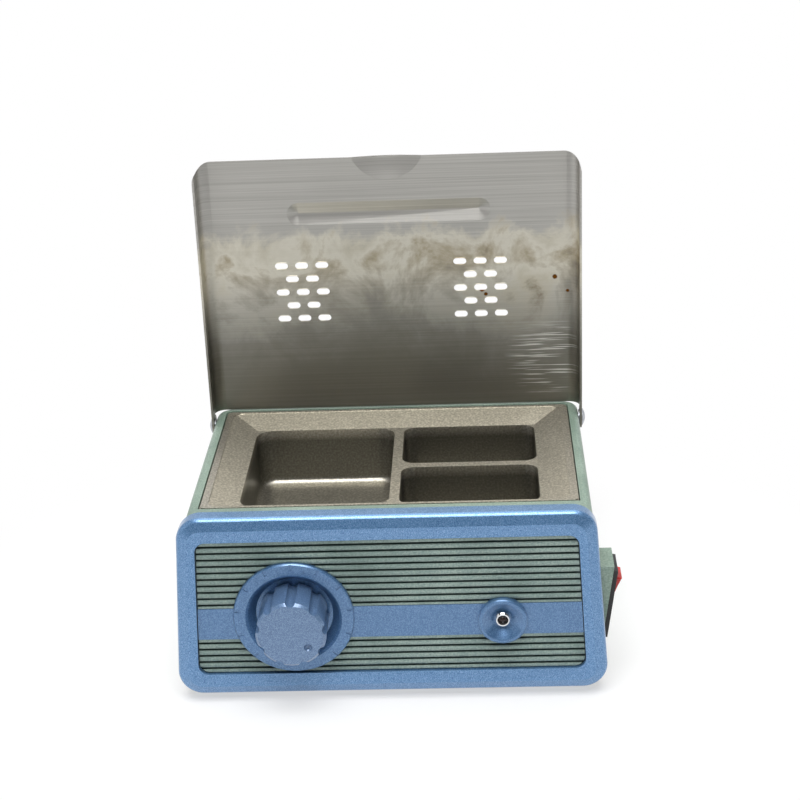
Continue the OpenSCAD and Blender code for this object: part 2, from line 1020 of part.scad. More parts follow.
module hinge_washers() {
  color([0.80, 0.80, 0.80])
    for (s = [0, 1])
      mirror([s, 0, 0])
        translate([side_x(hinge_z - washer_r) + 0.04, hinge_y, hinge_z])
          rotate([0, 90, 0])
            difference() {
              rod(washer_r, 0.3);
              translate([0, 0, -1])
                rod(rivet_r + 0.05, 3);
            }
}

module rubber_feet() {
  color([0.10, 0.10, 0.10])
    for (x = [-foot_x, foot_x], y = foot_y)
      translate([x, y, 0])
        difference() {
          cylinder(r1 = 6, r2 = 7, h = 4.55);
          translate([0, 0, -1])
            rod(3.3, 3.2);
          translate([0, 0, -1])
            rod(1.7, 8);
        }
}

module foot_screws() {
  color([0.75, 0.76, 0.78])
    for (x = [-foot_x, foot_x], y = foot_y)
      translate([x, y, 0]) {
        difference() {
          translate([0, 0, 0.7])
            rod(2.8, 1.5);
          translate([-0.4, -4, 0])
            cube([0.8, 8, 1.3]);
        }
        translate([0, 0, 2.1])
          rod(screw_r, 12);
      }
}

module frame_screws() {
  color([0.75, 0.76, 0.78])
    for (x = [-pillar_x, pillar_x], z = pillar_z)
      translate([x, case_front, z])
        rotate([-90, 0, 0]) {
          translate([0, 0, -3.8])
            rod(screw_r, pillar_d + 4);
          translate([0, 0, pillar_d + 0.05])
            difference() {
              rod(2.8, 1.8);
              translate([-0.4, -4, 1])
                cube([0.8, 8, 2]);
            }
        }
}

module leads() {
  color([0.80, 0.78, 0.72]) {
    bar([gland_x, back_y - 3, gland_z], [38, 33.5, 10.8], 1.2);
    bar([28, 15, 10.8], [-27.5, front_y + 28.6, 24.5], 1.2);
    bar([48, 15, 10.8], [59.5, front_y + 17, 31], 1.2);
  }
}

housing();
base_plate();
front_frame();
control_panel();
dial_plate();
control_knob();
thermostat();
thermostat_shaft();
thermostat_nut();
capillary();
lamp_holder();
lamp_lens();
lamp_board();
wax_pot();
pot_seal();
heating_plate();
insulation_pad();
pressure_plate();
pot_studs();
stud_nuts();
thermal_cutout();
terminal_block();
cord_gland();
switch_housing();
switch_body();
rocker();
rocker_pin();
lid();
hinge_rivets();
hinge_washers();
rubber_feet();
foot_screws();
frame_screws();
leads();
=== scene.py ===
# %% [markdown]
# # Dental lab wax heater
# A bench heater with a framed front, a cast wax pot and a sheet lid that stands open.
# The construction comes as a fixed frame of separate parts. This script gives each
# part its finish, adds the small details that only show close up, and lights it.

# %% Load the frame
import bpy
import json
import math
from mathutils import Matrix, Vector


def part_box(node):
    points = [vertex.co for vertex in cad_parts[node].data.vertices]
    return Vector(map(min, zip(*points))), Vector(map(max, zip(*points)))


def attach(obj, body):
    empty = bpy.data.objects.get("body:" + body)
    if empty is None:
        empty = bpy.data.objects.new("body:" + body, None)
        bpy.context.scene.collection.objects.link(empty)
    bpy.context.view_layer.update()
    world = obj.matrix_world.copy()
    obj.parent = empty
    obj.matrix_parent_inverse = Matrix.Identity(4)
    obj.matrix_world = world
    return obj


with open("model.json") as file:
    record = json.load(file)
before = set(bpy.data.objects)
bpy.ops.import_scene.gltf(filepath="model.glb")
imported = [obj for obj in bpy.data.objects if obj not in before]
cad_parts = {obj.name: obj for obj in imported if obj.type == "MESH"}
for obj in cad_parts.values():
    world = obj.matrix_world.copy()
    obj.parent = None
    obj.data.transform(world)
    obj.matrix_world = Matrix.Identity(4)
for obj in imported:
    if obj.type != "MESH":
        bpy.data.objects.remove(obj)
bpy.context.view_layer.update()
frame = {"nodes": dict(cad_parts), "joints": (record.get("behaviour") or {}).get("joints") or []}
nodes = frame["nodes"]
mm = 0.001
print("parts in the frame:", len(nodes))

# %% [markdown]
# Colours are written as sRGB hex values, the way a paint chart gives them. Blender
# works in linear light, so one function turns them over.

# %% Colour helper
def linear(hex_colour):
    """an sRGB hex colour as linear red, green, blue and alpha"""
    values = [int(hex_colour[i:i + 2], 16) / 255 for i in (0, 2, 4)]
    light = [v / 12.92 if v <= 0.04045 else ((v + 0.055) / 1.055) ** 2.4 for v in values]
    return light + [1.0]


print("mid grey is", [round(v, 3) for v in linear("808080")])

# %% [markdown]
# A material is a small network of nodes. One helper adds a node, sets its
# properties, fills its inputs and draws its links, so each finish below reads as a list
# of what it is made from.

# %% Node helper
def add(tree, kind, values=None, links=None, stops=None, **settings):
    """adds a node; values and links go by input name or number, stops fill a colour ramp"""
    made = tree.nodes.new(kind)
    for name, value in settings.items():
        setattr(made, name, value)
    for key, value in (values or {}).items():
        made.inputs[key].default_value = value
    for key, source in (links or {}).items():
        tree.links.new(source, made.inputs[key])
    if stops:
        steps = made.color_ramp.elements
        while len(steps) < len(stops):
            steps.new(0.5)
        for step, (place, colour) in zip(steps, stops):
            step.position = place
            step.color = linear(colour)
    return made


def begin(name, **values):
    """a new material: its tree, its shader and the piece's own coordinates in metres"""
    made = bpy.data.materials.new(name)
    made.use_nodes = True
    tree = made.node_tree
    shader = tree.nodes["Principled BSDF"]
    for key, value in values.items():
        shader.inputs[key.replace("_", " ")].default_value = value
    place = add(tree, "ShaderNodeTexCoord").outputs["Object"]
    return made, tree, shader, place


print("helpers ready")

# %% [markdown]
# The camera stands a little to the right, about 65 cm in front of the heater and 35 cm
# above the bench, and looks down. Its place could be found by eye, but matching the
# corners of the front frame and the edges of the lid is surer.

# %% Camera
FOCAL_PX = 1852.5
IMAGE_PX = 800
SENSOR_MM = 36
HORIZON_SHIFT_PX = 80.2
camera_place = Vector((35.1, -645.2, 351.6)) * mm
camera_yaw, camera_pitch, camera_roll = (math.radians(a) for a in (2.855, 24.304, -2.52))


def make_camera():
    data = bpy.data.cameras.new("camera")
    data.sensor_width = SENSOR_MM
    data.lens = FOCAL_PX * SENSOR_MM / IMAGE_PX
    data.shift_y = HORIZON_SHIFT_PX / IMAGE_PX
    made = bpy.data.objects.new("camera", data)
    bpy.context.scene.collection.objects.link(made)
    turn = Matrix.Rotation(camera_yaw, 4, "Z") @ Matrix.Rotation(-camera_pitch, 4, "X")
    upright = turn @ Matrix.Rotation(math.pi / 2, 4, "X")
    made.matrix_world = (Matrix.Translation(camera_place) @ upright
                         @ Matrix.Rotation(camera_roll, 4, "Z"))
    bpy.context.scene.camera = made
    return data.lens


print("lens", round(make_camera(), 1), "mm")

# %% [markdown]
# The casing and the ribbed panel are sprayed with a textured epoxy paint. It dries
# with a fine orange-peel skin about a millimetre across, so it looks soft and even with
# small sparkles where a bump faces the light. A photograph of the skin could be wrapped
# round the casing, but a noise pattern on the piece's own coordinates has no seams and
# keeps its scale on every side. The pigment specks are really finer, and are drawn at
# 0.7 mm to show.

# %% Green textured epoxy paint
PEEL_WIDTH = 0.9 * mm
PEEL_DEPTH = 0.05 * mm
PAINT_CLOUD = 24 * mm
PAINT_SPECK = 0.7 * mm


def textured_paint(name, light, mid, dark):
    made, tree, shader, place = begin(name, Metallic=0.25, Coat_Weight=0.45,
                                      Coat_Roughness=0.35)
    cloud = add(tree, "ShaderNodeTexNoise", {"Scale": 1 / PAINT_CLOUD, "Detail": 3.0},
                {"Vector": place})
    speck = add(tree, "ShaderNodeTexNoise", {"Scale": 1 / PAINT_SPECK, "Detail": 2.0},
                {"Vector": place})
    both = add(tree, "ShaderNodeMath", {2: 0.25}, {0: speck.outputs["Fac"],
               1: cloud.outputs["Fac"]}, operation="MULTIPLY_ADD")
    colour = add(tree, "ShaderNodeValToRGB", links={"Fac": both.outputs[0]},
                 stops=[(0.36, dark), (0.5, mid), (0.66, light)])
    tree.links.new(colour.outputs["Color"], shader.inputs["Base Color"])
    skin = add(tree, "ShaderNodeTexNoise", {"Scale": 1 / PEEL_WIDTH, "Detail": 2.5},
               {"Vector": place})
    gloss = add(tree, "ShaderNodeMapRange", {"To Min": 0.38, "To Max": 0.6},
                {"Value": skin.outputs["Fac"]})
    tree.links.new(gloss.outputs["Result"], shader.inputs["Roughness"])
    bump = add(tree, "ShaderNodeBump", {"Strength": 0.6, "Distance": PEEL_DEPTH},
               {"Height": skin.outputs["Fac"]})
    tree.links.new(bump.outputs["Normal"], shader.inputs["Normal"])
    return made, tree, shader, place, colour, bump


green_paint = textured_paint("green_textured_epoxy", "9DB0A3", "869A8C", "6C8276")[0]
print("made", green_paint.name)

# %% [markdown]
# On the panel the grooves between the ribs get a near-black painted shade, where the ribs
# cast shadow. The depth of a point behind the rib tops gives that, so the painted shade
# stays in the grooves from every side. The ribs are also slightly rounded across, which
# gives each one a light upper half and a darker lower half.

# %% Panel paint with painted shade in the grooves
RIB_TOP_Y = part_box("control_panel")[0].y
RIB_HEIGHT = 0.8 * mm
RIB_PITCH = 2.58 * mm
FIRST_GROOVE_Z = 62.9 * mm
RIB_CROWN = 2.4 * mm


def panel_paint():
    made, tree, shader, place, colour, skin = textured_paint(
        "green_epoxy_on_ribs", "9AACA4", "80948E", "657A74")
    part = add(tree, "ShaderNodeSeparateXYZ", links={"Vector": place})
    # painted shade: points deeper than the rib tops are mixed toward near-black 16302E
    depth = add(tree, "ShaderNodeMapRange",
                {"From Min": RIB_TOP_Y + 0.15 * RIB_HEIGHT,
                 "From Max": RIB_TOP_Y + 0.8 * RIB_HEIGHT},
                {"Value": part.outputs["Y"]}, interpolation_type="SMOOTHSTEP")
    mix = add(tree, "ShaderNodeMix", {7: linear("16302E")},
              {0: depth.outputs["Result"], 6: colour.outputs["Color"]}, data_type="RGBA")
    tree.links.new(mix.outputs[2], shader.inputs["Base Color"])
    count = add(tree, "ShaderNodeMath", {1: -1 / RIB_PITCH, 2: FIRST_GROOVE_Z / RIB_PITCH},
                {0: part.outputs["Z"]}, operation="MULTIPLY_ADD")
    across = add(tree, "ShaderNodeMath", links={0: count.outputs[0]}, operation="FRACT")
    rest = add(tree, "ShaderNodeMath", {0: 1.0}, {1: across.outputs[0]},
               operation="SUBTRACT")
    crown = add(tree, "ShaderNodeMath", links={0: across.outputs[0], 1: rest.outputs[0]},
                operation="MULTIPLY")
    rounded = add(tree, "ShaderNodeBump", {"Strength": 1.0, "Distance": RIB_CROWN},
                  {"Height": crown.outputs[0], "Normal": skin.outputs["Normal"]})
    tree.links.new(rounded.outputs["Normal"], shader.inputs["Normal"])
    return made


rib_paint = panel_paint()
print("made", rib_paint.name)

# %% [markdown]
# The front frame has a blue metallic paint with a soft hammered skin, under a clear
# coat that draws a thin bright line on each edge. Metal flake in the paint makes it
# lighter where it faces up and darker where it turns away. The dial plate and the knob
# are plastic with the same paint over them, so they shine less like metal. Real flake
# is about 0.05 mm; it is drawn at 0.35 mm to show.

# %% Blue metallic paint
FLAKE_SIZE = 0.35 * mm
FLAKE_DEPTH = 0.02 * mm


def metallic_paint(name, light, mid, dark, dimple, depth, metallic):
    made, tree, shader, place = begin(name, Metallic=metallic, Coat_Weight=0.7,
                                      Coat_Roughness=0.15)
    cell = add(tree, "ShaderNodeTexNoise", {"Scale": 1 / dimple, "Detail": 1.0},
               {"Vector": place})
    flake = add(tree, "ShaderNodeTexNoise", {"Scale": 1 / FLAKE_SIZE, "Detail": 2.0},
                {"Vector": place})
    colour = add(tree, "ShaderNodeValToRGB", links={"Fac": flake.outputs["Fac"]},
                 stops=[(0.28, dark), (0.5, mid), (0.72, light)])
    tree.links.new(colour.outputs["Color"], shader.inputs["Base Color"])
    gloss = add(tree, "ShaderNodeMapRange", {"To Min": 0.26, "To Max": 0.38},
                {"Value": cell.outputs["Fac"]})
    tree.links.new(gloss.outputs["Result"], shader.inputs["Roughness"])
    grain = add(tree, "ShaderNodeBump", {"Strength": 0.35, "Distance": FLAKE_DEPTH},
                {"Height": flake.outputs["Fac"]})
    bump = add(tree, "ShaderNodeBump", {"Strength": 0.6, "Distance": depth},
               {"Height": cell.outputs["Fac"], "Normal": grain.outputs["Normal"]})
    tree.links.new(bump.outputs["Normal"], shader.inputs["Normal"])
    return made


blue_paint = metallic_paint("blue_metallic_paint", "84A8D0", "5F8AB6", "3E6696",
                            1.4 * mm, 0.035 * mm, 0.55)
blue_moulding = metallic_paint("blue_painted_moulding", "6B8EB6", "5278A2", "3E628C",
                               1.0 * mm, 0.025 * mm, 0.45)
knob_paint = metallic_paint("blue_painted_knob", "7895B6", "607CA0", "4A6488",
                            1.0 * mm, 0.02 * mm, 0.35)
print("made", blue_paint.name, blue_moulding.name, knob_paint.name)

# %% [markdown]
# Switch, gland, terminal block, feet, seal and insulation are moulded, pressed or fired.
# They share one recipe: an even colour with a faint haze, the grain that the mould or
# the fibre leaves, and a gloss that goes from polished plastic to dry felt. One function
# with a few numbers for each is shorter than nine materials built by hand, and easier
# to change.

# %% Moulded plastics, rubber and ceramic
HAZE_SIZE = 9 * mm


def moulded(name, light, dark, grain=0.35 * mm, depth=0.015 * mm, gloss=(0.3, 0.45), **values):
    made, tree, shader, place = begin(name, **values)
    haze = add(tree, "ShaderNodeTexNoise", {"Scale": 1 / HAZE_SIZE, "Detail": 4.0},
               {"Vector": place})
    colour = add(tree, "ShaderNodeValToRGB", links={"Fac": haze.outputs["Fac"]},
                 stops=[(0.35, dark), (0.65, light)])
    tree.links.new(colour.outputs["Color"], shader.inputs["Base Color"])
    skin = add(tree, "ShaderNodeTexNoise", {"Scale": 1 / grain, "Detail": 2.0},
               {"Vector": place})
    rough = add(tree, "ShaderNodeMapRange", {"To Min": gloss[0], "To Max": gloss[1]},
                {"Value": haze.outputs["Fac"]})
    tree.links.new(rough.outputs["Result"], shader.inputs["Roughness"])
    bump = add(tree, "ShaderNodeBump", {"Strength": 0.5, "Distance": depth},
               {"Height": skin.outputs["Fac"]})
    tree.links.new(bump.outputs["Normal"], shader.inputs["Normal"])
    return made


# black polyamide: near black, with the satin of an eroded mould
black_plastic = moulded("black_polyamide", "1C1C1E", "0E0E10")
# red polycarbonate: a polished mould gives it wet-looking highlights
rocker_plastic = moulded("red_polycarbonate", "D0281F", "A81812", gloss=(0.12, 0.25), IOR=1.58)
# cream polyamide: pale and slightly warm
cream_plastic = moulded("cream_polyamide", "E6E3D4", "D6D2C0")
# solder mask: dark green lacquer with a clear shine
board = moulded("green_solder_mask", "2A6A45", "1B4E31", gloss=(0.2, 0.35))
# nitrile rubber: dull, with a coarse grain that grips
foot_rubber = moulded("black_nitrile_rubber", "242424", "151515", 0.6 * mm, 0.04 * mm,
                      (0.7, 0.85))
# silicone: white going grey, half dull
seal_rubber = moulded("white_silicone_rubber", "DDDBD2", "C9C6BA", 0.8 * mm, 0.02 * mm,
                      (0.5, 0.65))
# silicone sleeve of the leads: the colour of old ivory
sleeve = moulded("silicone_lead_sleeve", "CFC9B6", "B8B19B", 0.5 * mm, 0.02 * mm, (0.5, 0.65))
# steatite: fired white ceramic, dry and even
ceramic = moulded("steatite_ceramic", "E8E2D4", "D8D0BE", 0.5 * mm, 0.02 * mm, (0.55, 0.7))
# ceramic felt: loose white fibre with no shine at all
fibre = moulded("ceramic_fibre_felt", "EBE6D8", "CFC8B4", 0.9 * mm, 0.25 * mm, (0.85, 0.95))
print("plastics ready")

# %% [markdown]
# The pot is cast aluminium under a champagne-grey release coating, which follows the
# grain of the casting, so its slopes glitter softly. The walls of the wells get a dark
# painted shade, and their floors a lighter one. Height above the bench tells rim,
# wall and floor apart, so one material can serve the whole tray. The grain is really
# about 0.3 mm and is drawn at 0.8 mm to show.

# %% Coated casting of the pot
WELL_FLOOR_Z = 40.5 * mm
WELL_TOP_Z = 63.5 * mm
COATING_GRAIN = 0.8 * mm
CASTING_GRAIN = 2.5 * mm


def coated_casting():
    made, tree, shader, place = begin("coated_cast_aluminium", Metallic=0.92)
    grain = add(tree, "ShaderNodeTexNoise", {"Scale": 1 / COATING_GRAIN, "Detail": 2.0},
                {"Vector": place})
    cast = add(tree, "ShaderNodeTexNoise", {"Scale": 1 / CASTING_GRAIN, "Detail": 2.0},
               {"Vector": place})
    tone = add(tree, "ShaderNodeValToRGB", links={"Fac": grain.outputs["Fac"]},
               stops=[(0.3, "A39F94"), (0.5, "BBB6AA"), (0.7, "D6D2C6")])
    part = add(tree, "ShaderNodeSeparateXYZ", links={"Vector": place})
    rise = add(tree, "ShaderNodeMapRange", {"From Min": WELL_FLOOR_Z, "From Max": WELL_TOP_Z},
               {"Value": part.outputs["Z"]})
    # painted shade: the walls of the wells are mixed toward 3A3A30, the floors less, the rim not
    # at all
    well_shade = add(tree, "ShaderNodeValToRGB", links={"Fac": rise.outputs["Result"]},
               stops=[(0.02, "808080"), (0.12, "DCDCDC"), (0.8, "E0E0E0"), (0.98, "000000")])
    mix = add(tree, "ShaderNodeMix", {7: linear("3A3A30")},
              {0: well_shade.outputs["Color"], 6: tone.outputs["Color"]}, data_type="RGBA")
    tree.links.new(mix.outputs[2], shader.inputs["Base Color"])
    gloss = add(tree, "ShaderNodeMapRange", {"To Min": 0.3, "To Max": 0.42},
                {"Value": cast.outputs["Fac"]})
    tree.links.new(gloss.outputs["Result"], shader.inputs["Roughness"])
    fine = add(tree, "ShaderNodeBump", {"Strength": 0.5, "Distance": 0.03 * mm},
               {"Height": grain.outputs["Fac"]})
    bump = add(tree, "ShaderNodeBump", {"Strength": 0.4, "Distance": 0.05 * mm},
               {"Height": cast.outputs["Fac"], "Normal": fine.outputs["Normal"]})
    tree.links.new(bump.outputs["Normal"], shader.inputs["Normal"])
    return made


pot_coating = coated_casting()
print("made", pot_coating.name)

# %% [markdown]
# The lid is thin stainless sheet. New sheet is finely brushed. Years of hot wax have
# left it with a straw and brown heat tint across the middle, a pale film round the
# slots, a few rust spots and some scuffs low on the right. Toward the hinge the sheet
# is darkened to grey-brown, a painted dark reflection of the pot and frame below it.
# The brush lines are really about 0.1 mm apart and are drawn at about half a millimetre to show.

# %% Heat tint of the lid
# places and reaches in millimetres, across and up
RUST_SPOTS = [((36, 116), 1.6), ((37.5, 113.5), 0.9), ((65, 120), 1.1), ((70, 114), 0.8)]
RUST_EDGE = 2 * mm
SCUFF_PLACE = (60, 86)
SCUFF_REACH = 17 * mm
SCUFF_ANGLE = math.radians(-28)
# how fast each pattern changes along x, y and z, per metre: long lines with fine gaps
BRUSH_SCALE = (12.0, 12.0, 1800.0)
SCRATCH_SCALE = (60.0, 60.0, 2600.0)
LID_LOW_Z = 66 * mm
LID_TOP_Z = 170 * mm
# heights of the painted dark reflection low on the lid: it starts at the first and is strongest
# at the second
DARK_REFLECTION_TOP = 135 * mm
DARK_REFLECTION_FULL = 80 * mm
STAIN_SIZE = 24 * mm
STAIN_WANDER = 23 * mm
SHEET_WAVE = 50 * mm


def spot(tree, flat, place, reach, ragged):
    """1 inside a blot of that reach round a place on the lid, 0 outside, with a ragged edge"""
    gap = add(tree, "ShaderNodeVectorMath", {1: (place[0] * mm, 0, place[1] * mm)}, {0: flat},
              operation="DISTANCE")
    rough = add(tree, "ShaderNodeMath", {1: reach}, {0: ragged}, operation="MULTIPLY")
    edge = add(tree, "ShaderNodeMath", links={0: gap.outputs["Value"], 1: rough.outputs[0]},
               operation="ADD")
    return add(tree, "ShaderNodeMapRange", {"From Min": 1.6 * reach, "From Max": 1.1 * reach},
               {"Value": edge.outputs[0]}, interpolation_type="SMOOTHSTEP").outputs["Result"]


def tinted_steel(tree, place, cloud, level):
    """brushed steel, with the heat tint in a band at mid height and a painted dark reflection
    below it
    """
    across = add(tree, "ShaderNodeMapping", {"Scale": BRUSH_SCALE}, {"Vector": place})
    brushed = add(tree, "ShaderNodeTexNoise", {"Scale": 1.0, "Detail": 3.0},
                  {"Vector": across.outputs["Vector"]})
    clean = add(tree, "ShaderNodeValToRGB", links={"Fac": brushed.outputs["Fac"]},
                stops=[(0.3, "B2B0AB"), (0.7, "C6C4BF")])
    # painted dark reflection of the pot and frame: low on the lid the sheet is mixed toward
    # 6A675A
    low = add(tree, "ShaderNodeMapRange",
              {"From Min": DARK_REFLECTION_TOP, "From Max": DARK_REFLECTION_FULL, "To Max": 0.75},
              {"Value": level}, interpolation_type="SMOOTHSTEP")
    reflection_darkened = add(tree, "ShaderNodeMix", {7: linear("6A675A")},
                    {0: low.outputs["Result"], 6: clean.outputs["Color"]}, data_type="RGBA")
    height = add(tree, "ShaderNodeMapRange", {"From Min": LID_LOW_Z, "From Max": LID_TOP_Z},
                 {"Value": level})
    band = add(tree, "ShaderNodeValToRGB", links={"Fac": height.outputs["Result"]},
               stops=[(0.3, "000000"), (0.44, "9A9A9A"), (0.56, "E8E8E8"), (0.7, "E0E0E0"),
                      (0.75, "000000")])
    tint = add(tree, "ShaderNodeValToRGB", links={"Fac": cloud},
               stops=[(0.3, "7A6C54"), (0.4, "B8AC92"), (0.5, "E4DFD0"), (0.62, "CFC8B4"),
                      (0.7, "8D8069")])
    both = add(tree, "ShaderNodeMix", links={0: band.outputs["Color"],
               6: reflection_darkened.outputs[2], 7: tint.outputs["Color"]}, data_type="RGBA")
    return both.outputs[2], brushed.outputs["Fac"]


print("the open lid rises from", round(LID_LOW_Z / mm), "to", round(LID_TOP_Z / mm), "mm")

# %% [markdown]
# Rust and scuffs lie at known places. Each is a blot round a point on the sheet: filled
# brown for rust, and for the scuffs filled with fine slanted lines of bright bare metal.

# %% Rust spots and scuffs
def worn(tree, place, colour, cloud):
    """adds the rust spots and the scuffs to the colour of the sheet"""
    flat = add(tree, "ShaderNodeVectorMath", {1: (1, 0, 1)}, {0: place},
               operation="MULTIPLY").outputs["Vector"]
    small = add(tree, "ShaderNodeTexNoise", {"Scale": 1 / RUST_EDGE, "Detail": 3.0},
                {"Vector": place})
    for centre, radius in RUST_SPOTS:
        inside = spot(tree, flat, centre, radius * mm, small.outputs["Fac"])
        colour = add(tree, "ShaderNodeMix", {7: linear("6E4316")}, {0: inside, 6: colour},
                     data_type="RGBA").outputs[2]
    turned = add(tree, "ShaderNodeMapping", {"Rotation": (0, SCUFF_ANGLE, 0),
                 "Scale": SCRATCH_SCALE}, {"Vector": place})
    scratch = add(tree, "ShaderNodeTexNoise", {"Scale": 1.0, "Detail": 1.0},
                  {"Vector": turned.outputs["Vector"]})
    line = add(tree, "ShaderNodeMapRange", {"From Min": 0.58, "From Max": 0.66},
               {"Value": scratch.outputs["Fac"]})
    scuffed = add(tree, "ShaderNodeMath", links={0: line.outputs["Result"],
                  1: spot(tree, flat, SCUFF_PLACE, SCUFF_REACH, cloud)}, operation="MULTIPLY")
    return add(tree, "ShaderNodeMix", {7: linear("E2E0DA")},
               {0: scuffed.outputs[0], 6: colour}, data_type="RGBA").outputs[2]


print("rust spots:", len(RUST_SPOTS))

# %% [markdown]
# The sheet itself is never quite flat. A slow wave a few centimetres long bends its
# reflections, and the fine lines of the brushing blur them up and down.

# %% Stained stainless sheet
def heat_stained_sheet():
    made, tree, shader, place = begin("stained_stainless_sheet", Metallic=1.0)
    cloud = add(tree, "ShaderNodeTexNoise",
                {"Scale": 1 / STAIN_SIZE, "Detail": 7.0, "Roughness": 0.62, "Distortion": 0.35},
                {"Vector": place}).outputs["Fac"]
    part = add(tree, "ShaderNodeSeparateXYZ", links={"Vector": place})
    wander = add(tree, "ShaderNodeMath", {1: 2 * STAIN_WANDER, 2: -STAIN_WANDER}, {0: cloud},
                 operation="MULTIPLY_ADD")
    level = add(tree, "ShaderNodeMath", links={0: part.outputs["Z"], 1: wander.outputs[0]},
                operation="ADD").outputs[0]
    colour, brushed = tinted_steel(tree, place, cloud, level)
    tree.links.new(worn(tree, place, colour, cloud), shader.inputs["Base Color"])
    rough = add(tree, "ShaderNodeMapRange", {"To Min": 0.36, "To Max": 0.52}, {"Value": cloud})
    tree.links.new(rough.outputs["Result"], shader.inputs["Roughness"])
    fine = add(tree, "ShaderNodeBump", {"Strength": 0.08, "Distance": 0.01 * mm},
               {"Height": brushed})
    wave = add(tree, "ShaderNodeTexNoise", {"Scale": 1 / SHEET_WAVE, "Detail": 1.0},
               {"Vector": place})
    bump = add(tree, "ShaderNodeBump", {"Strength": 0.5, "Distance": 0.5 * mm},
               {"Height": wave.outputs["Fac"], "Normal": fine.outputs["Normal"]})
    tree.links.new(bump.outputs["Normal"], shader.inputs["Normal"])
    return made


stainless = heat_stained_sheet()
print("made", stainless.name)

# %% [markdown]
# The small metal parts differ in colour and in how they were finished: bright plating,
# zinc, galvanising with its spangle, milled alloy, brass and copper. One noise pattern
# at the size of the grain drives colour, gloss and bump together, so that each grain
# reads as one thing. Separate patterns would look like dirt lying on the metal.

# %% Plated and plain metals
def metal(name, light, dark, grain, gloss, depth=0.01 * mm):
    made, tree, shader, place = begin(name, Metallic=1.0)
    spangle = add(tree, "ShaderNodeTexNoise", {"Scale": 1 / grain, "Detail": 3.0},
                  {"Vector": place})
    colour = add(tree, "ShaderNodeValToRGB", links={"Fac": spangle.outputs["Fac"]},
                 stops=[(0.38, dark), (0.62, light)])
    tree.links.new(colour.outputs["Color"], shader.inputs["Base Color"])
    rough = add(tree, "ShaderNodeMapRange", {"To Min": gloss[0], "To Max": gloss[1]},
                {"Value": spangle.outputs["Fac"]})
    tree.links.new(rough.outputs["Result"], shader.inputs["Roughness"])
    bump = add(tree, "ShaderNodeBump", {"Strength": 0.4, "Distance": depth},
               {"Height": spangle.outputs["Fac"]})
    tree.links.new(bump.outputs["Normal"], shader.inputs["Normal"])
    return made


# chrome plate: a near mirror
chrome = metal("bright_chrome_plate", "E4E6E8", "D2D5D8", 3 * mm, (0.06, 0.14), 0.003 * mm)
# zinc plate: blue-grey with a soft shine
zinc = metal("zinc_plated_steel", "C2C5CA", "A4A8AE", 1.5 * mm, (0.3, 0.45))
# galvanised sheet: patches of spangle, lighter and darker by turns
galvanised = metal("galvanised_sheet", "BCC0C4", "92979C", 7 * mm, (0.35, 0.5))
# milled aluminium: pale and even
alloy = metal("milled_aluminium", "C8CACC", "B0B3B6", 1 * mm, (0.28, 0.4))
# brass: yellow, dulled by handling
brass = metal("plain_brass", "D2B06A", "B89250", 2 * mm, (0.25, 0.4))
# drawn copper: red-brown, going darker in patches
copper = metal("drawn_copper", "CF8A5E", "A8653F", 4 * mm, (0.25, 0.42))
print("metals ready")

# %% [markdown]
# The lamp has a small dark red lens. It is clear plastic, so most of its look is the
# reflection on it and the dark holder behind. Half transmission is enough: fully clear
# plastic would need a bulb behind it to look right.

# %% Lamp lens
LENS_HAZE = 0.8 * mm


def lens_plastic():
    made, tree, shader, place = begin("dark_red_lens", Roughness=0.06, Transmission_Weight=0.55,
                                      IOR=1.49)
    haze = add(tree, "ShaderNodeTexNoise", {"Scale": 1 / LENS_HAZE}, {"Vector": place})
    colour = add(tree, "ShaderNodeValToRGB", links={"Fac": haze.outputs["Fac"]},
                 stops=[(0.4, "160808"), (0.6, "2C0E0C")])
    tree.links.new(colour.outputs["Color"], shader.inputs["Base Color"])
    return made


lamp_red = lens_plastic()
print("made", lamp_red.name)

# %% [markdown]
# Each part of the frame now gets its finish. Real edges are never sharp, so a narrow
# bevel goes on the parts that show; it catches a thin line of light. A bevel shader
# node would look alike here, but a modifier makes the edge part of the mesh. The parts
# come as loose triangles, and a weld joins them first.

# %% Finishes and softened edges
finishes = {
    "housing": green_paint, "switch_housing": green_paint, "control_panel": rib_paint,
    "front_frame": blue_paint, "dial_plate": blue_moulding, "control_knob": knob_paint,
    "wax_pot": pot_coating, "lid": stainless, "lamp_holder": chrome, "lamp_lens": lamp_red,
    "rocker": rocker_plastic, "switch_body": black_plastic, "cord_gland": black_plastic,
    "thermal_cutout": black_plastic, "rubber_feet": foot_rubber, "pot_seal": seal_rubber,
    "base_plate": galvanised, "pressure_plate": galvanised, "heating_plate": alloy,
    "thermostat": ceramic, "terminal_block": cream_plastic, "lamp_board": board,
    "insulation_pad": fibre, "leads": sleeve, "capillary": copper, "thermostat_nut": brass,
}
# in millimetres
edge_widths = {
    "housing": 0.35, "switch_housing": 0.6, "dial_plate": 0.15, "control_knob": 0.35,
    "wax_pot": 0.9, "rocker": 0.35, "switch_body": 0.3, "cord_gland": 0.3, "rubber_feet": 0.4,
    "lid": 0.12,
}
SHARP = math.radians(32)
WELD_REACH = 0.002 * mm


def soften(piece, width):
    weld = piece.modifiers.new("weld", "WELD")
    weld.merge_threshold = WELD_REACH
    bevel = piece.modifiers.new("edge", "BEVEL")
    bevel.width = width * mm
    bevel.segments = 3
    bevel.limit_method = "ANGLE"
    bevel.angle_limit = SHARP


for name, piece in nodes.items():
    piece.data.materials.clear()
    piece.data.materials.append(finishes.get(name, zinc))
    if name in edge_widths:
        soften(piece, edge_widths[name])
print("finished", len(nodes), "parts")

# %% [markdown]
# Each slot of the lid was punched from outside, which leaves a thin raised burr round
# it on the inner face. The slots lie in two groups of rows, three and two by turns.
# Geometry Nodes fit this well: one rounded outline is swept to a bead, and a grid
# of three by three with a grid of two by two between them gives its places.

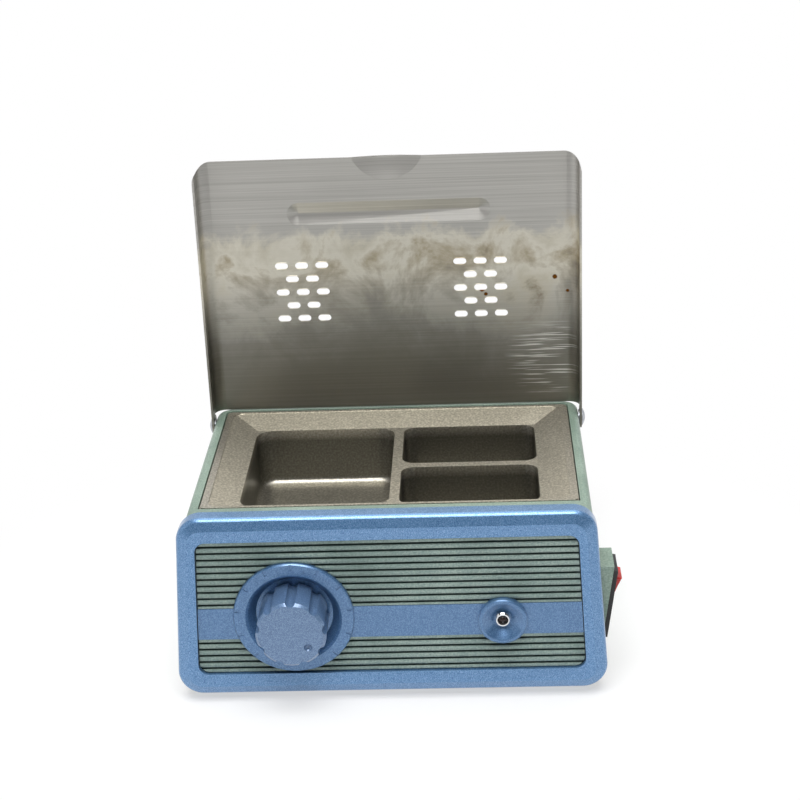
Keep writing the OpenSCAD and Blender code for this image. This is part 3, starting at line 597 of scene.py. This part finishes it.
# %% Sizes of the slots and their burrs
BURR_SIZES = {"Slot Length": 5.5 * mm, "Slot Width": 2.7 * mm, "Column Pitch": 8.05 * mm,
              "Row Pitch": 5.48 * mm, "Group Offset": 35.5 * mm, "Bead Radius": 0.16 * mm}
print("slots in all:", 2 * (3 * 3 + 2 * 2))

# %% [markdown]
# The tree takes each size as a named input. It makes one bead, the two grids of each
# group, and a copy of the bead on every grid point. Realize Instances turns the copies
# into real faces, because an exported model keeps no instances.

# %% Node tree of the burrs
def burr_tree(finish):
    tree = bpy.data.node_groups.new("slot_burrs", "GeometryNodeTree")
    for name in BURR_SIZES:
        tree.interface.new_socket(name, socket_type="NodeSocketFloat")
    tree.interface.new_socket("Geometry", in_out="OUTPUT", socket_type="NodeSocketGeometry")
    given = add(tree, "NodeGroupInput").outputs
    outline = add(tree, "GeometryNodeCurvePrimitiveQuadrilateral",
                  links={"Width": given["Slot Length"], "Height": given["Slot Width"]})
    corner = add(tree, "ShaderNodeMath", {1: 0.499}, {0: given["Slot Width"]},
                 operation="MULTIPLY")
    rounded = add(tree, "GeometryNodeFilletCurve", {"Count": 6},
                  {"Curve": outline.outputs["Curve"], "Radius": corner.outputs[0]}, mode="POLY")
    section = add(tree, "GeometryNodeCurvePrimitiveCircle", {"Resolution": 8},
                  {"Radius": given["Bead Radius"]})
    bead = add(tree, "GeometryNodeCurveToMesh", links={"Curve": rounded.outputs["Curve"],
               "Profile Curve": section.outputs["Curve"]})
    joined = add(tree, "GeometryNodeJoinGeometry")
    for count in (3, 2):
        wide = add(tree, "ShaderNodeMath", {1: count - 1.0}, {0: given["Column Pitch"]},
                   operation="MULTIPLY")
        tall = add(tree, "ShaderNodeMath", {1: 2.0 * (count - 1)}, {0: given["Row Pitch"]},
                   operation="MULTIPLY")
        grid = add(tree, "GeometryNodeMeshGrid", {"Vertices X": count, "Vertices Y": count},
                   {"Size X": wide.outputs[0], "Size Y": tall.outputs[0]})
        for side in (-1.0, 1.0):
            offset = add(tree, "ShaderNodeMath", {1: side}, {0: given["Group Offset"]},
                         operation="MULTIPLY")
            shift = add(tree, "ShaderNodeCombineXYZ", links={"X": offset.outputs[0]})
            moved = add(tree, "GeometryNodeTransform", links={"Geometry": grid.outputs["Mesh"],
                        "Translation": shift.outputs["Vector"]})
            tree.links.new(moved.outputs["Geometry"], joined.inputs["Geometry"])
    burrs = add(tree, "GeometryNodeInstanceOnPoints", links={"Points": joined.outputs[0],
                "Instance": bead.outputs["Mesh"]})
    real = add(tree, "GeometryNodeRealizeInstances", links={"Geometry": burrs.outputs[0]})
    done = add(tree, "GeometryNodeSetMaterial", {"Material": finish},
               {"Geometry": real.outputs[0]})
    add(tree, "NodeGroupOutput", links={0: done.outputs[0]})
    return tree


burrs_of = burr_tree(stainless)
print("nodes in the tree:", len(burrs_of.nodes))

# %% [markdown]
# A modifier runs the tree on an empty mesh. Its inputs are set by the identifier of each
# socket, before it runs for the first time, and the result is kept as a plain mesh.

# %% Grow the burrs on the lid
GROUP_FROM_HINGE = 54.44 * mm
LID_SKIN = 5.0 * mm
LID_LEAN = math.radians(1)


def grown(name, tree, sizes, place):
    """runs a Geometry Nodes tree and keeps the result as a plain mesh, put in its place"""
    carrier = bpy.data.objects.new(name + "_carrier", bpy.data.meshes.new(name + "_carrier"))
    bpy.context.scene.collection.objects.link(carrier)
    growth = carrier.modifiers.new("grow", "NODES")
    growth.node_group = tree
    for socket in tree.interface.items_tree:
        if socket.name in sizes:
            growth[socket.identifier] = sizes[socket.name]
    bpy.context.view_layer.update()
    ready = carrier.evaluated_get(bpy.context.evaluated_depsgraph_get())
    mesh = bpy.data.meshes.new_from_object(ready)
    bpy.data.objects.remove(carrier)
    mesh.transform(place)
    mesh.name = name
    made = bpy.data.objects.new(name, mesh)
    bpy.context.scene.collection.objects.link(made)
    return made


hinge = Vector(next(j for j in frame["joints"] if j["name"] == "lid_hinge")["pos_m"])
open_lid = Matrix.Translation(hinge) @ Matrix.Rotation(-math.pi / 2 - LID_LEAN, 4, "X")
inner_face = open_lid @ Matrix.Translation((0, -GROUP_FROM_HINGE, LID_SKIN))
slot_burrs = grown("slot_burrs", burrs_of, BURR_SIZES, inner_face)
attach(slot_burrs, "lid_body")
print("burr faces:", len(slot_burrs.data.polygons))

# %% [markdown]
# The scale of the knob is moulded into the ring: cut marks with low raised figures
# between them. They could be drawn as outlines by hand, but Blender's own text already
# has clean forms. It is turned to a mesh one figure at a time, so that each stands
# upright on its own spoke.

# %% Raised figures on the ring
DIAL_CENTRE = Vector((-34.3, 0, 34.6)) * mm
RING_FACE_Y = -62.5 * mm
FIGURE_RADIUS = 18.55 * mm
FIGURE_SIZE = 2.3 * mm
FIGURE_RISE = 0.09 * mm
MARK_STEP = 27


def ring_figures():
    verts, faces = [], []
    for number in range(10):
        text = bpy.data.curves.new("figure", "FONT")
        text.body = str(number)
        text.size = FIGURE_SIZE
        text.extrude = FIGURE_RISE
        text.resolution_u = 3
        text.align_x = "CENTER"
        carrier = bpy.data.objects.new("figure", text)
        mesh = bpy.data.meshes.new_from_object(carrier)
        turn = math.radians((number - 4.5) * MARK_STEP)
        face = (Matrix.Translation(DIAL_CENTRE + Vector((0, RING_FACE_Y, 0)))
                @ Matrix.Rotation(math.pi / 2, 4, "X") @ Matrix.Rotation(-turn, 4, "Z")
                @ Matrix.Translation((0, FIGURE_RADIUS, 0)))
        start = len(verts)
        verts += [face @ v.co for v in mesh.vertices]
        faces += [[start + i for i in f.vertices] for f in mesh.polygons]
        bpy.data.objects.remove(carrier)
    joined = bpy.data.meshes.new("ring_figures")
    joined.from_pydata(verts, [], faces)
    joined.materials.append(blue_moulding)
    made = bpy.data.objects.new("ring_figures", joined)
    bpy.context.scene.collection.objects.link(made)
    return made


figures = ring_figures()
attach(figures, "base")
print("figure faces:", len(figures.data.polygons))

# %% [markdown]
# The floor is a large pale sheet. Near the heater it keeps the shadow, and further out it
# turns to plain white for the camera, so that no edge shows. More light would whiten it
# too, but would wash out the heater.

# %% Floor
FLOOR_HALF = 3.0
SHADOW_NEAR = 0.09
SHADOW_FAR = 0.2
WHITE_NEAR = 0.55


def make_floor():
    made, tree, shader, place = begin("pale_paper", Roughness=0.9)
    shader.inputs["Base Color"].default_value = linear("F4F4F4")
    out = tree.nodes["Material Output"]
    reach = add(tree, "ShaderNodeVectorMath", links={0: place}, operation="LENGTH")
    away = add(tree, "ShaderNodeMapRange",
               {"From Min": SHADOW_NEAR, "From Max": SHADOW_FAR, "To Min": WHITE_NEAR},
               {"Value": reach.outputs["Value"]}, interpolation_type="SMOOTHSTEP")
    path = add(tree, "ShaderNodeLightPath")
    seen = add(tree, "ShaderNodeMath", links={0: path.outputs["Is Camera Ray"],
               1: path.outputs["Is Glossy Ray"]}, operation="MAXIMUM")
    through = add(tree, "ShaderNodeMath", links={0: seen.outputs[0],
                  1: path.outputs["Is Transmission Ray"]}, operation="MAXIMUM")
    share = add(tree, "ShaderNodeMath", links={0: through.outputs[0],
                1: away.outputs["Result"]}, operation="MULTIPLY")
    white = add(tree, "ShaderNodeEmission", {"Strength": 1.0})
    mix = add(tree, "ShaderNodeMixShader", links={0: share.outputs[0],
              1: shader.outputs["BSDF"], 2: white.outputs["Emission"]})
    tree.links.new(mix.outputs["Shader"], out.inputs["Surface"])
    half = FLOOR_HALF
    mesh = bpy.data.meshes.new("floor")
    mesh.from_pydata([(-half, -half, 0), (half, -half, 0), (half, half, 0), (-half, half, 0)],
                     [], [(0, 1, 2, 3)])
    mesh.materials.append(made)
    floor = bpy.data.objects.new("floor", mesh)
    bpy.context.scene.collection.objects.link(floor)


make_floor()
print("floor laid")

# %% [markdown]
# One wide soft box hangs overhead, as in product photographs. A smaller one in front and
# above puts the bright line on the top edge of the frame, and a weak one at the left
# opens the shadows.

# %% Lights
def soft_box(name, place, aim_height, size, watts):
    """a square lamp that points at a height on the heater's middle line"""
    data = bpy.data.lights.new(name, "AREA")
    data.shape = "SQUARE"
    data.size = size
    data.energy = watts
    made = bpy.data.objects.new(name, data)
    bpy.context.scene.collection.objects.link(made)
    made.location = place
    way = Vector((0.0, 0.0, aim_height)) - Vector(place)
    made.rotation_euler = way.to_track_quat("-Z", "Y").to_euler()


soft_box("overhead", (0.0, 0.15, 1.1), 0.05, 1.2, 8.0)
soft_box("front", (0.0, -0.42, 0.9), 0.06, 0.6, 8.0)
soft_box("left", (-0.9, -0.5, 0.5), 0.06, 0.6, 1.0)
print("lamps:", [lamp.name for lamp in bpy.data.lights])

# %% [markdown]
# The room is the world behind everything. A picture of a studio could light it, but two
# plain tones do the same: dim in front and above, and pale elsewhere, which gives the
# metal depth. The camera sees plain white instead.

# %% Surroundings
ROOM_PALE = 0.85
ROOM_DIM = 0.12


def make_world():
    world = bpy.data.worlds.new("studio")
    world.use_nodes = True
    tree = world.node_tree
    tree.nodes.clear()
    path = add(tree, "ShaderNodeLightPath")
    way = add(tree, "ShaderNodeSeparateXYZ",
              links={"Vector": add(tree, "ShaderNodeTexCoord").outputs["Generated"]})
    ahead = add(tree, "ShaderNodeMath", {1: -1.0}, {0: way.outputs["Y"]}, operation="MULTIPLY")
    dim = add(tree, "ShaderNodeMath", links={0: ahead.outputs[0], 1: way.outputs["Z"]},
              operation="ADD")
    tone = add(tree, "ShaderNodeMapRange",
               {"From Min": -0.2, "From Max": 0.9, "To Min": ROOM_PALE, "To Max": ROOM_DIM},
               {"Value": dim.outputs[0]}, interpolation_type="SMOOTHSTEP")
    room = add(tree, "ShaderNodeBackground", {"Color": linear("E8E8E8")},
               {"Strength": tone.outputs["Result"]})
    paper = add(tree, "ShaderNodeBackground", {"Color": linear("FFFFFF"), "Strength": 1.0})
    mix = add(tree, "ShaderNodeMixShader", links={0: path.outputs["Is Camera Ray"],
              1: room.outputs["Background"], 2: paper.outputs["Background"]})
    add(tree, "ShaderNodeOutputWorld", links={"Surface": mix.outputs["Shader"]})
    bpy.context.scene.world = world


make_world()
bpy.context.scene.view_settings.view_transform = "Standard"
print("lit")

# %% [markdown]
# The last step hands the scene over.

# %% Finish
print("scene ready")
